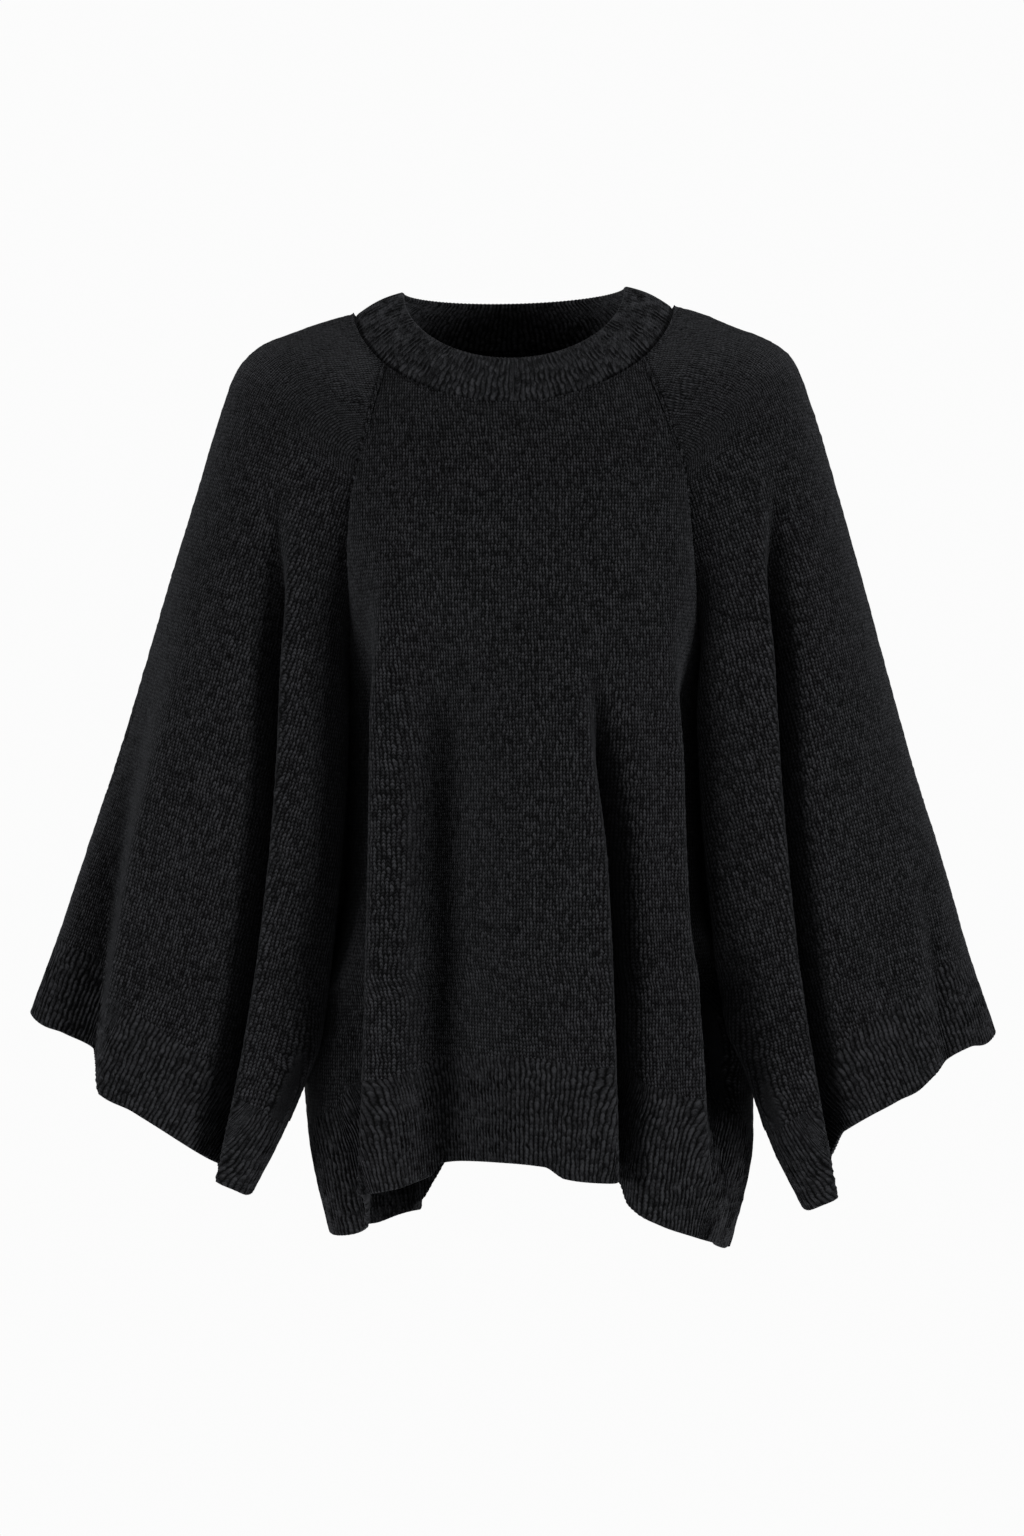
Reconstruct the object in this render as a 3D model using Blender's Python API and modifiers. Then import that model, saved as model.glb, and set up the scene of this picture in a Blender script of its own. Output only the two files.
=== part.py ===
"""A wide raglan pullover in fine felted knit, hollow and hanging as on a wearer.

The front faces -y, the wearer's left is at +x and z is up. The origin is the middle of the neck, level with
the tops of the shoulder seams. Charts and sizes are in millimetres, and meshes are in metres.
"""

import math

import bpy
import numpy as np

MM = 0.001

# Cloth
CLOTH = 3.0
BAND_CLOTH = 4.5
SEAM_GAP = 0.3
RIB_GAP = 1.0

# Neckline, where the band is sewn on, and the band's free edge
NECK_HALF_WIDTH = 120.5
NECK_BACK_Y = 88.0
NECK_FRONT_Y = -97.0
NECK_SIDE_Z = 0.0
NECK_FRONT_DROP = 77.5
NECK_BACK_DROP = 12.0
NECK_TILT = 0.025
NECK_DIP = 1.15
EDGE_HALF_WIDTH = 84.0
EDGE_BACK_Y = 63.0
EDGE_FRONT_Y = -73.0
EDGE_SIDE_Z = 18.0
EDGE_BACK_DROP = 3.0
EDGE_FRONT_DROP = 59.0
EDGE_DIP = 1.05
BAND_SWELL = 2.5
RAGLAN_ANGLE = math.radians(52)

# Rows of knitting, by how far down the raglan seam they meet it
UNDERARM = 474.0
CUFF_START = 569.0
SLEEVE_END = 630.0
HEM_START = 579.0
BODY_END = 659.0

# How folds fade towards seams, and how boxy the body is
STILL_SEAM = 22.0
BOXINESS = 0.72

# Grid sizes of the faceted cloth
FRONT_COLUMNS = 34
BACK_COLUMNS = 24
SLEEVE_COLUMNS = 34
BAND_COLUMNS = 36
BAND_ROWS = 3
SEAM_COLUMN = 3.0
SEAM_ROW = 3.0
FINE = 160

BLACK_WOOL = (0.0087, 0.0087, 0.0092, 1.0)
WOOL_ROUGHNESS = 0.92


def chart(columns, *rows):
    """Named columns of numbers, with a row for each section or fold."""
    return dict(zip(columns.split(), np.array(rows, float).T))


# The outline of each sleeve and its raglan seam, measured out from the middle. Below the underarm the seam
# columns follow the sleeve's own underarm seam.
RIGHT_SLEEVE = chart(
    "down outer_x outer_z seam_x seam_z",
    (0, 120.5, -3.2, 93.8, -45.7),
    (22, 143.7, -9.4, 99.0, -62.0),
    (45, 168.0, -18.0, 105.0, -82.0),
    (69, 191.8, -28.1, 110.0, -103.0),
    (92, 208.0, -45.0, 115.4, -125.4),
    (125, 221.0, -80.0, 119.5, -150.0),
    (180, 240.0, -143.0, 122.5, -197.0),
    (252, 260.5, -209.0, 122.0, -270.0),
    (327, 280.5, -276.0, 121.5, -350.0),
    (401, 300.5, -341.0, 124.0, -430.0),
    (474, 315.5, -386.0, 140.5, -521.5),
    (521, 330.0, -430.0, 158.0, -575.0),
    (569, 345.1, -475.6, 172.3, -610.6),
    (630, 365.9, -533.7, 199.5, -663.7),
)
LEFT_SLEEVE = chart(
    "down outer_x outer_z seam_x seam_z",
    (0, 120.5, 3.2, 97.5, -45.7),
    (22, 141.5, -2.6, 104.0, -62.0),
    (45, 168.2, -13.8, 111.5, -82.0),
    (69, 191.1, -22.8, 118.5, -103.0),
    (92, 208.5, -35.5, 125.0, -125.4),
    (125, 224.0, -73.0, 128.0, -150.0),
    (180, 243.5, -138.0, 132.0, -197.0),
    (252, 263.0, -206.0, 135.0, -270.0),
    (327, 282.8, -278.7, 137.0, -350.0),
    (401, 303.0, -351.0, 139.5, -430.0),
    (474, 318.5, -401.0, 156.5, -510.0),
    (521, 331.5, -445.0, 177.0, -565.0),
    (569, 343.5, -487.0, 192.3, -618.0),
    (630, 364.3, -548.2, 220.0, -675.4),
)
# How the sleeve goes round in depth: the outer line, the two seams, how far front and back swell, and how far
# round they turn (0.5 runs on smoothly into the body, 1 turns right back in).
SLEEVE_DEPTH = chart(
    "down outer_y front_y front_swell front_turn back_y back_rise back_swell back_turn",
    (0, 0, -61, 61, 0.50, 51, 37, 51, 0.50),
    (22, 2, -69, 71, 0.50, 61, 35, 60, 0.50),
    (45, 4, -75, 79, 0.50, 69, 32, 67, 0.50),
    (69, 5, -79, 84, 0.51, 74, 30, 71, 0.50),
    (92, 5, -80, 86, 0.53, 78, 28, 74, 0.51),
    (125, 5, -77, 86, 0.58, 80, 25, 77, 0.53),
    (180, 6, -64, 85, 0.70, 76, 18, 77, 0.58),
    (252, 8, -45, 84, 0.82, 64, 12, 76, 0.68),
    (327, 10, -32, 82, 0.90, 50, 8, 74, 0.78),
    (401, 12, -24, 78, 0.95, 32, 4, 70, 0.88),
    (474, 13, -18, 70, 1.00, -18, 0, 62, 1.00),
    (521, 14, -34, 62, 1.00, -34, 0, 62, 1.00),
    (569, 14, -38, 56, 1.00, -38, 0, 60, 1.00),
    (630, 15, -34, 49, 1.00, -34, 0, 54, 1.00),
)
# The body's side seams, from the underarm to the hem's corners.
RIGHT_SIDE = chart(
    "down x z y",
    (474, -139.3, -521.5, -18),
    (506, -150.0, -552.5, 6),
    (542, -158.5, -587.4, 20),
    (579, -155.3, -621.8, 24),
    (616, -148.4, -655.9, 22),
    (659, -138.0, -699.0, 16),
)
LEFT_SIDE = chart(
    "down x z y",
    (474, 155.0, -510.0, -18),
    (506, 172.0, -548.0, 8),
    (542, 181.0, -588.0, 22),
    (579, 180.5, -628.0, 26),
    (616, 173.0, -668.0, 23),
    (659, 162.0, -711.0, 16),
)
# The middle of the front and of the back, and how far round their rows turn.
BODY = chart(
    "down front_z front_y front_turn back_z back_y back_turn",
    (0, -77.5, -97, 0.578, -12, 88, 0.578),
    (12, -87, -102, 0.59, -24, 94, 0.59),
    (45, -112, -110, 0.62, -57, 103, 0.62),
    (92, -150, -118, 0.66, -105, 111, 0.65),
    (125, -177, -122, 0.70, -140, 115, 0.68),
    (180, -223, -127, 0.78, -195, 118, 0.74),
    (252, -285, -131, 0.86, -265, 120, 0.82),
    (327, -350, -133, 0.91, -338, 121, 0.89),
    (401, -416, -134, 0.95, -410, 122, 0.94),
    (474, -485, -135, 1.00, -484, 124, 1.00),
    (579, -556, -137, 1.00, -562, 128, 1.00),
    (659, -634, -138, 1.00, -642, 130, 1.00),
)
# The hem's height across the front and the back.
FRONT_HEM = chart(
    "x z",
    (-138, -699),
    (-122, -688),
    (-97, -664),
    (-64, -647),
    (-50, -638),
    (0, -633.5),
    (22, -635),
    (37, -643.5),
    (80, -649.5),
    (86, -667),
    (106, -680),
    (141, -695),
    (162, -711),
)
BACK_HEM = chart(
    "x z",
    (-138, -699),
    (-115, -694),
    (-70, -686),
    (-48, -650),
    (0, -641),
    (60, -655),
    (110, -684),
    (162, -711),
)
# How far each cuff is lifted, front and back, by the distance out from the middle.
RIGHT_CUFF = chart(
    "out front back",
    (200, 0, 0),
    (241, 2, 6),
    (283, -3, 10),
    (307, -10, 14),
    (317, 13, 16),
    (339, 8, 10),
    (366, 0, 0),
)
LEFT_CUFF = chart(
    "out front back",
    (220, 0, 0),
    (233, 0, 8),
    (247, 35, 20),
    (285, 24, 36),
    (304, 17, 32),
    (321, 19, 26),
    (364, 0, 0),
)

# Folds run down the cloth along a line x at the heights top, middle and low. On its side (1 is towards +x) the
# cloth stands crest proud of the form over crest_wide, and on the other it sinks by trough over trough_wide. The
# step between is edge wide and leans over the trough. A fold grows in from top, and keeps the share end at low.
FOLD_COLUMNS = "x_top x_middle x_low top low side crest crest_wide trough trough_wide edge lean grow end"
FRONT_FOLDS = chart(
    FOLD_COLUMNS,
    (-179, -182, -222, -90, -640, 1, 12, 40, 28, 34, 6, 4, 130, 1.0),
    (-238, -284, -314, -150, -590, 1, 10, 60, 24, 26, 6, 3, 130, 1.0),
    (-106, -108, -120, -300, -690, 1, 10, 34, 22, 22, 7, 2, 120, 0.2),
    (-48, -44, -38, -230, -640, -1, -24, 24, 24, 46, 9, 0, 240, 1.0),
    (55, 75, 81, -225, -690, -1, 10, 40, 38, 14, 5, 4, 160, 1.0),
    (124, 131, 148, -330, -690, -1, 10, 18, 36, 24, 7, 2, 150, 0.25),
    (189, 198, 237, -80, -650, -1, 12, 34, 30, 24, 8, 2, 120, 1.0),
    (292, 306, 318, -380, -580, -1, 5, 20, 6, 12, 5, 0, 100, 1.0),
)
BACK_FOLDS = chart(
    FOLD_COLUMNS,
    (-170, -190, -222, -110, -640, -1, 12, 34, 24, 26, 8, 3, 130, 1.0),
    (-252, -288, -316, -200, -590, 1, 9, 40, 16, 26, 8, 0, 140, 1.0),
    (-60, -66, -78, -250, -690, -1, 12, 34, 26, 24, 9, 2, 200, 1.0),
    (16, 10, 6, -300, -660, 1, 12, 36, 26, 26, 9, 2, 200, 1.0),
    (100, 98, 104, -230, -700, 1, 10, 26, 22, 22, 8, 0, 200, 1.0),
    (176, 200, 236, -100, -650, 1, 10, 34, 22, 28, 10, 0, 130, 0.6),
    (252, 286, 312, -200, -580, -1, 9, 34, 16, 24, 8, 0, 140, 1.0),
)


def read(rows, column, at, key="down"):
    """The chart's column at any places between its rows, on a smooth curve that doesn't overshoot them."""
    places, values = rows[key], rows[column]
    at = np.clip(at, places[0], places[-1])
    gaps = np.diff(places)
    slopes = np.diff(values) / gaps
    before, after = slopes[:-1], slopes[1:]
    same_way = before * after > 0
    inner = np.where(same_way, 2 * before * after / np.where(same_way, before + after, 1), 0)
    tangents = np.concatenate([slopes[:1], inner, slopes[-1:]])
    row = np.clip(np.searchsorted(places, at, side="right") - 1, 0, len(gaps) - 1)
    gap = gaps[row]
    t = (at - places[row]) / gap
    return (
        values[row] * (1 + 2 * t) * (1 - t) ** 2
        + values[row + 1] * (3 - 2 * t) * t**2
        + tangents[row] * gap * t * (1 - t) ** 2
        - tangents[row + 1] * gap * (1 - t) * t**2
    )


def ease(t):
    """0 to 1 with a soft start and end."""
    t = np.clip(t, 0, 1)
    return t * t * (3 - 2 * t)


def lengths(points):
    """The distance along each row of points from its start."""
    steps = np.linalg.norm(np.diff(points, axis=-2), axis=-1)
    return np.concatenate([np.zeros(steps.shape[:-1] + (1,)), np.cumsum(steps, axis=-1)], axis=-1)


def spaced(row, count, trim):
    """The row at even steps along the cloth, with a narrow column at each end, so that seams meet squarely."""
    along = lengths(row)
    start, end = trim, along[-1] - trim
    inner = np.linspace(start + SEAM_COLUMN, end - SEAM_COLUMN, count - 1)
    places = np.concatenate([[start], inner, [end]])
    return np.stack([np.interp(places, along, row[:, axis]) for axis in range(3)], axis=1)


def neckline(angle):
    """The seam of the neckband, by the angle round from the middle of the front towards +x."""
    forward = np.cos(angle)
    reach = np.where(forward > 0, -NECK_FRONT_Y, NECK_BACK_Y)
    drop = np.where(forward > 0, NECK_FRONT_DROP, NECK_BACK_DROP)
    dip = np.abs(forward) ** NECK_DIP
    x = NECK_HALF_WIDTH * np.sin(angle)
    return np.stack([x, -reach * forward, NECK_SIDE_Z + NECK_TILT * x - drop * dip], axis=-1)


def band_edge(angle):
    """The free edge of the neckband, by the same angle."""
    forward = np.cos(angle)
    reach = np.where(forward > 0, -EDGE_FRONT_Y, EDGE_BACK_Y)
    drop = np.where(forward > 0, EDGE_FRONT_DROP, EDGE_BACK_DROP)
    dip = np.abs(forward) ** EDGE_DIP
    x = EDGE_HALF_WIDTH * np.sin(angle)
    return np.stack([x, -reach * forward, EDGE_SIDE_Z + NECK_TILT * x - drop * dip], axis=-1)


def folded(points, folds, facing, share):
    """The points with the folds added. Facing is -1 for the front and 1 for the back."""
    x, z = points[..., 0], points[..., 2]
    rise = np.zeros_like(x)
    shift = np.zeros_like(x)
    for n in range(len(folds["top"])):
        fold = {name: column[n] for name, column in folds.items()}
        fall = np.clip((fold["top"] - z) / (fold["top"] - fold["low"]), 0, 1.1)
        line = (
            fold["x_top"] * (1 - fall) * (1 - 2 * fall)
            + fold["x_middle"] * 4 * fall * (1 - fall)
            + fold["x_low"] * fall * (2 * fall - 1)
        )
        size = ease((fold["top"] - z) / fold["grow"]) * (1 - (1 - fold["end"]) * ease(2.5 * fall - 1.5))
        off = (x - line) * fold["side"]
        crest = np.exp(-((off / fold["crest_wide"]) ** 2))
        trough = np.exp(-((off / fold["trough_wide"]) ** 2))
        proud = 0.5 + 0.5 * np.tanh(off / fold["edge"])
        rise += size * (proud * fold["crest"] * crest - (1 - proud) * fold["trough"] * trough)
        shift -= size * fold["side"] * fold["lean"] * np.exp(-((off / (2.5 * fold["edge"])) ** 2))
    moved = points.copy()
    moved[..., 0] += share * shift
    moved[..., 1] += share * facing * rise
    return moved


def still_ends(points, start=True, end=True):
    """0 at a row's seams, rising to 1 inside them."""
    along = lengths(points)
    share = np.ones(along.shape)
    if start:
        share *= ease(along / STILL_SEAM)
    if end:
        share *= ease((along[..., -1:] - along) / STILL_SEAM)
    return share


def sleeve_half(side, down, facing):
    """Rows of the sleeve from its outer line to its front (-1) or back (1) seam, at fine steps."""
    outline = LEFT_SLEEVE if side > 0 else RIGHT_SLEEVE
    cuff = LEFT_CUFF if side > 0 else RIGHT_CUFF
    name = "front" if facing < 0 else "back"
    down = np.asarray(down, float)[:, None]
    turn = read(SLEEVE_DEPTH, name + "_turn", down)
    swell = read(SLEEVE_DEPTH, name + "_swell", down)
    outer_y = read(SLEEVE_DEPTH, "outer_y", down)
    seam_y = read(SLEEVE_DEPTH, name + "_y", down)
    round_to = np.linspace(0, 1, FINE + 1)[None, :]
    across = (1 - np.cos(turn * math.pi * round_to)) / (1 - np.cos(turn * math.pi))
    rest = seam_y - outer_y - facing * swell * np.sin(turn * math.pi)
    seam_z = read(outline, "seam_z", down)
    if facing > 0:
        seam_z = seam_z + read(SLEEVE_DEPTH, "back_rise", down)
    outer_x, seam_x = read(outline, "outer_x", down), read(outline, "seam_x", down)
    outer_z = read(outline, "outer_z", down)
    out = outer_x + (seam_x - outer_x) * across
    free = ease((down - UNDERARM) / (SLEEVE_END - UNDERARM)) * ease(across / 0.15)
    z = outer_z + (seam_z - outer_z) * across + free * read(cuff, name, out, "out")
    points = np.stack(
        [
            side * out,
            outer_y + facing * swell * np.sin(turn * math.pi * round_to) + rest * across,
            z,
        ],
        axis=-1,
    )
    if facing < 0:
        ring = neckline(side * (math.pi / 2 + (RAGLAN_ANGLE - math.pi / 2) * round_to[0]))
    else:
        ring = neckline(side * (math.pi / 2 + (math.pi / 2 - RAGLAN_ANGLE) * round_to[0]))
    points += (ring - points[:1]) * (1 - ease(down / 60.0))[..., None]
    folds = FRONT_FOLDS if facing < 0 else BACK_FOLDS
    return folded(points, folds, facing, still_ends(points))


def sleeve_rows(side, downs):
    """Rows of one sleeve, each from the front seam over the outer line to the back seam."""
    downs = np.concatenate([[0.0], downs])
    front = sleeve_half(side, downs, -1)[1:]
    back = sleeve_half(side, downs, 1)[1:]
    return np.concatenate([front[:, ::-1], back[:, 1:]], axis=1)


def body_edge(side, downs, facing):
    """The raglan seam and then the side seam, at the given rows."""
    outline, seam = (LEFT_SLEEVE, LEFT_SIDE) if side > 0 else (RIGHT_SLEEVE, RIGHT_SIDE)
    name = "front" if facing < 0 else "back"
    upper = np.minimum(downs, UNDERARM)
    rise = read(SLEEVE_DEPTH, "back_rise", upper) if facing > 0 else 0.0
    raglan = [
        side * read(outline, "seam_x", upper),
        read(SLEEVE_DEPTH, name + "_y", upper),
        read(outline, "seam_z", upper) + rise,
    ]
    below = downs >= UNDERARM
    flank = [read(seam, "x", downs), read(seam, "y", downs), read(seam, "z", downs)]
    return np.stack([np.where(below, low, high) for low, high in zip(flank, raglan)], axis=-1)


def hem_offset(share, arch, facing):
    """How far the hem lies from the even arch that its row would have, across the panel."""
    end = np.array([BODY_END])
    right, left = body_edge(-1, end, facing)[0], body_edge(1, end, facing)[0]
    line = right + (left - right) * share[:, None]
    middle_z = read(BODY, ("front" if facing < 0 else "back") + "_z", end)
    level = line[:, 2] + (middle_z - line[FINE, 2]) * arch
    return read(FRONT_HEM if facing < 0 else BACK_HEM, "z", line[:, 0], "x") - level


def body_rows(downs, facing):
    """Rows of the front (-1) or back (1) panel, from the right seam (-x) to the left one, at fine steps."""
    downs = np.concatenate([[0.0], downs])
    name = "front" if facing < 0 else "back"
    right, left = body_edge(-1, downs, facing), body_edge(1, downs, facing)
    down = downs[:, None]
    middle_y, middle_z = read(BODY, name + "_y", down), read(BODY, name + "_z", down)
    turn = read(BODY, name + "_turn", down) * math.pi / 2
    place = np.linspace(-1, 1, 2 * FINE + 1)[None, :]
    share = (1 + np.sin(turn * place) / np.sin(turn)) / 2
    arch = np.clip((np.cos(turn * place) - np.cos(turn)) / (1 - np.cos(turn)), 0, 1)
    full = arch ** (1 - (1 - BOXINESS) * ease(down / 200.0))
    line = right[:, None] + (left - right)[:, None] * share[..., None]
    x = line[..., 0]
    y = line[..., 1] + (middle_y - line[..., 1].mean(axis=1, keepdims=True)) * full
    z = line[..., 2] + (middle_z - line[:, FINE : FINE + 1, 2]) * arch
    free = np.clip((down - UNDERARM) / (BODY_END - UNDERARM), 0, 1)
    z = z + free**1.5 * hem_offset(share[-1], arch[-1], facing)
    points = np.stack([x, y, z], axis=-1)
    ring = neckline(RAGLAN_ANGLE * place[0]) if facing < 0 else neckline(math.pi - RAGLAN_ANGLE * place[0])
    points += (ring - points[:1]) * (1 - ease(down / 60.0))[..., None]
    folds = FRONT_FOLDS if facing < 0 else BACK_FOLDS
    return folded(points, folds, facing, still_ends(points))[1:]


def collection_named(name):
    found = bpy.data.collections.new(name)
    bpy.context.scene.collection.children.link(found)
    return found


def wool(name):
    material = bpy.data.materials.new(name)
    material.use_nodes = True
    shader = material.node_tree.nodes["Principled BSDF"]
    shader.inputs["Base Color"].default_value = BLACK_WOOL
    shader.inputs["Roughness"].default_value = WOOL_ROUGHNESS
    shader.inputs["Metallic"].default_value = 0.0
    material.diffuse_color = BLACK_WOOL
    return material


def cloth(name, rows, into, thickness=CLOTH, closed=False, inside_out=False):
    """A grid of rows as a wall of cloth that thickens inwards. Ends of rows that meet are joined."""
    height, width = rows.shape[:2]
    vertices = [tuple(point) for point in rows.reshape(-1, 3) * MM]
    faces = []
    for j in range(height - 1):
        for i in range(width - (0 if closed else 1)):
            a, b = j * width + i, j * width + (i + 1) % width
            corner = (a, b, b + width, a + width)
            faces.append(corner[::-1] if inside_out else corner)
    mesh = bpy.data.meshes.new(name)
    mesh.from_pydata(vertices, [], faces)
    mesh.validate()
    piece = bpy.data.objects.new(name, mesh)
    into.objects.link(piece)
    weld = piece.modifiers.new("joined underarm", "WELD")
    weld.merge_threshold = 0.00005
    wall = piece.modifiers.new("wall", "SOLIDIFY")
    wall.thickness = thickness * MM
    wall.offset = -1
    wall.use_even_offset = False
    wall.use_rim = True
    mesh.materials.append(wool(name))
    mesh.shade_smooth()
    return piece


def panel(name, downs, facing, columns, into):
    rows = [spaced(row, columns, SEAM_GAP / 2) for row in body_rows(downs, facing)]
    return cloth(name, np.array(rows), into, inside_out=facing < 0)


def sleeve(name, side, downs, into):
    """One sleeve or cuff. Below the underarm its rows close into a tube."""
    rows = []
    for down, row in zip(downs, sleeve_rows(side, downs)):
        rows.append(spaced(row, SLEEVE_COLUMNS, SEAM_GAP / 2 if down < UNDERARM else 0.0))
    return cloth(name, np.array(rows), into, inside_out=side > 0)


def neckband(into):
    """A doubled band that leans in from the neckline, swelling a little between its edges."""
    angle = np.linspace(0, 2 * math.pi, BAND_COLUMNS, endpoint=False)
    rows = []
    for share in np.linspace(0.01, 1, BAND_ROWS + 1):
        ring = neckline(angle) * (1 - share) + band_edge(angle) * share
        ring[:, 2] += BAND_SWELL * math.sin(math.pi * share)
        rows.append(ring)
    return cloth("neckband", np.array(rows), into, BAND_CLOTH, closed=True)


def main():
    for old in list(bpy.data.objects):
        bpy.data.objects.remove(old, do_unlink=True)
    pullover = collection_named("pullover_sweater")
    half = RIB_GAP / 2
    upper = [0.8, 4, 30, 60, 92, 125, 180, 252, 327, 401, UNDERARM]
    body_downs = np.array([*upper, 530, HEM_START - SEAM_ROW, HEM_START - half])
    rib_downs = np.array([HEM_START + half, HEM_START + SEAM_ROW, 620, BODY_END])
    panel("front_panel", body_downs, -1, FRONT_COLUMNS, pullover)
    panel("hem_rib_front", rib_downs, -1, FRONT_COLUMNS, pullover)
    panel("back_panel", body_downs, 1, BACK_COLUMNS, pullover)
    panel("hem_rib_back", rib_downs, 1, BACK_COLUMNS, pullover)
    sleeve_downs = np.array([*upper, 521, CUFF_START - SEAM_ROW, CUFF_START - half])
    cuff_downs = np.array([CUFF_START + half, CUFF_START + SEAM_ROW, 601, SLEEVE_END])
    for word, side in (("right", -1), ("left", 1)):
        sleeve("sleeve_" + word, side, sleeve_downs, pullover)
        sleeve("cuff_" + word, side, cuff_downs, pullover)
    neckband(pullover)


main()
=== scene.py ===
"""A wide black raglan pullover in fine felted knit, filled out as on a wearer, against a pale studio ground.

The cloth is laid out in rows of knitting, as the solids are, with the folds, seams, ribs and stitches added.
Charts and sizes are in millimetres, and meshes are in metres.
"""

import math
from functools import partial

import bpy
import numpy as np
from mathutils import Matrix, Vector


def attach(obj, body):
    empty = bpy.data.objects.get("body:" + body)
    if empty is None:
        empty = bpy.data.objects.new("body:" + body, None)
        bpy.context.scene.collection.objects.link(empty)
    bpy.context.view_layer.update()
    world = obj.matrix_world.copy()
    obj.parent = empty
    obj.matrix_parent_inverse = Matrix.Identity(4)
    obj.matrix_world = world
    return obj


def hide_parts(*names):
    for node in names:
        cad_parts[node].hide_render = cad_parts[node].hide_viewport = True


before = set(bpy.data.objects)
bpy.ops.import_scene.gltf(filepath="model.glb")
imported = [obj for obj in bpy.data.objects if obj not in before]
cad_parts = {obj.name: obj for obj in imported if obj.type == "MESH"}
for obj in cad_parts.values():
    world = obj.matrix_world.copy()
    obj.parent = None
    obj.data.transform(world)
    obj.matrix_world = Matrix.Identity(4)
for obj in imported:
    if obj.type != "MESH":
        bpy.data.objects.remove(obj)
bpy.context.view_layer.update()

MM = 0.001

# Photograph and camera: 0.76 mm to a pixel in the plane of the garment's middle
PHOTO_HEIGHT = 1536
MM_PER_PIXEL = 0.76
CAMERA_DISTANCE = 3.0
CAMERA_AIM = (-0.0015, 0.0, -0.3458)
SENSOR = 36.0

# The studio, in metres: each light's name, place and size, with its power in watts, then the floor and room
LIGHTS = (
    ("left", (-2.5, -2.0, -0.45), (1.4, 0.7), 43),
    ("right", (2.5, -2.0, -0.45), (1.4, 0.7), 50),
    ("behind", (0.0, 2.8, -0.3), (2.0, 1.0), 30),
    ("above", (0.0, 1.0, 2.0), (1.6, 1.0), 13),
)
LIGHTS_AIM = (0.0, 0.0, -0.35)
FLOOR_RADIUS = 1.5
FLOOR_SIDES = 96
FLOOR_Z = -1.25
FLOOR_COLOUR = (0.86, 0.86, 0.86, 1.0)
FLOOR_ROUGHNESS = 0.8
ROOM_GLOW = 0.1
BACKDROP_GLOW = 0.97

# Cloth, how uneven it is, and how it lies at a linked seam, which is a ridge beside a sunk line, and at a free
# edge. The steps are the narrow ones of the meshes there.
CLOTH = 2.8
THINNEST = 0.15
CREASE = math.radians(60)
UNEVEN = 0.16
SEAM_GAP = 0.15
SEAM_STEPS = (0.0, 0.5, 1.0, 1.6, 2.3, 3.1, 4.0, 5.0, 6.5, 8.0)
SEAM_RIDGE = 0.55
SEAM_RIDGE_PLACE = 2.6
SEAM_RIDGE_REACH = 1.2
SEAM_SINK = 1.5
SEAM_SINK_REACH = 1.1
SIDE_SEAM_SHARE = 0.5
NECK_SEAM_SHARE = 0.4
EDGE_STEPS = (0.0, 0.25, 0.7, 1.3, 2.2)
EDGE_CALM = 0.5
EDGE_CALM_REACH = 1.5

# Stitches and ribs. Stitches begin to be drawn out at DRAWN_FROM times their usual width. The two least values
# only keep divisions from failing.
STITCH_WIDTH = 2.3
STITCH_HEIGHT = 2.8
DRAWN_FROM = 1.9
DRAWN_OVER = 1.6
RIB_PITCH = 3.6
RIB_DEPTH = 0.45
RIB_SAMPLES = 5
RIB_GROWTH = 30.0
RIB_ROUNDING = 0.25
RIB_TRIM = 1e-4
UV_PER_MM = 0.01
LEAST_WALE = 1e-3
LEAST_LENGTH = 1e-9

# Neckline, where the band is sewn on, and the band's free edge
NECKLINE = dict(half_width=120.5, front_y=-97, back_y=88, side_z=0, front_drop=77.5, back_drop=12, dip=1.15)
BAND_EDGE = dict(half_width=84, front_y=-73, back_y=63, side_z=18, front_drop=59, back_drop=3, dip=1.05)
NECK_TILT = 0.025
RAGLAN_ANGLE = math.radians(52)

# Neckband: two layers that sink into the neckline. The outer one draws in at the seam, the inner one flares
# below it, and both swell between seam and edge. The rise tells the outside from the inside. Rows go by their
# share of the way up outside, then round the edge and down inside.
BAND_RIB_PITCH = 3.8
BAND_RIB_DEPTH = 0.6
BAND_CLOTH = 4.4
BAND_SWELL = 2.5
BAND_SINK = 1.6
BAND_DRAW = 0.9
BAND_DRAW_REACH = 1.2
BAND_FLARE = 0.6
BAND_RISE = 40.0
BAND_RIB_START = 0.25
BAND_RIB_GROWTH = 8.0
BAND_EDGE_RIBS = 0.9
BAND_INNER_RIBS = 0.6
BAND_INNER_FROM = 0.04
BAND_OUTER_SHARES = (0.0, 0.012, 0.035, 0.07, *np.linspace(0.11, 0.93, 16))
BAND_BENDS = np.linspace(-math.pi / 2, math.pi / 2, 9)[-2:0:-1]
BAND_INNER_SHARES = (*np.linspace(0.93, 0.05, 14), 0.0, -0.08, -0.16)

# Rows of knitting, by how far down the raglan seam they meet it, and the steps and columns of the meshes
UNDERARM = 474.0
CUFF_START = 569.0
SLEEVE_END = 630.0
HEM_START = 579.0
BODY_END = 659.0
TOP_ROW = 0.3
BODY_STEP = 3.0
SLEEVE_STEP = 3.2
RIB_STEP = 5.0
COLUMNS = {"front": 215, "back": 170, "sleeve": 200}
FINE = 500

# How far down the neckline's curve is felt, how the sleeve and the body square off below it, and how the
# lifts of the cuffs and the hem grow
NECK_BLEND = 60.0
SLEEVE_SQUARING = 0.35
SQUARING_FROM = 330.0
SQUARING_OVER = 200.0
BOXINESS = 0.6
BOXINESS_OVER = 200.0
CUFF_STILL = 0.15
HEM_GROWTH = 1.5

# How folds fade beside seams, below the underarm and in the last part of their own way down, how wide they
# start, how far their lean reaches, and between which rows they run on over the raglan seam
STILL_SEAM = 22.0
PARTING = 40.0
FOLD_FADE = 0.6
FOLD_PAST = 1.1
FOLD_START = 4.0
LEAN_REACH = 3.0
OVER_SEAM_FROM = 60.0
OVER_SEAM_GROWTH = 100.0
OVER_SEAM_TO = 390.0

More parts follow.
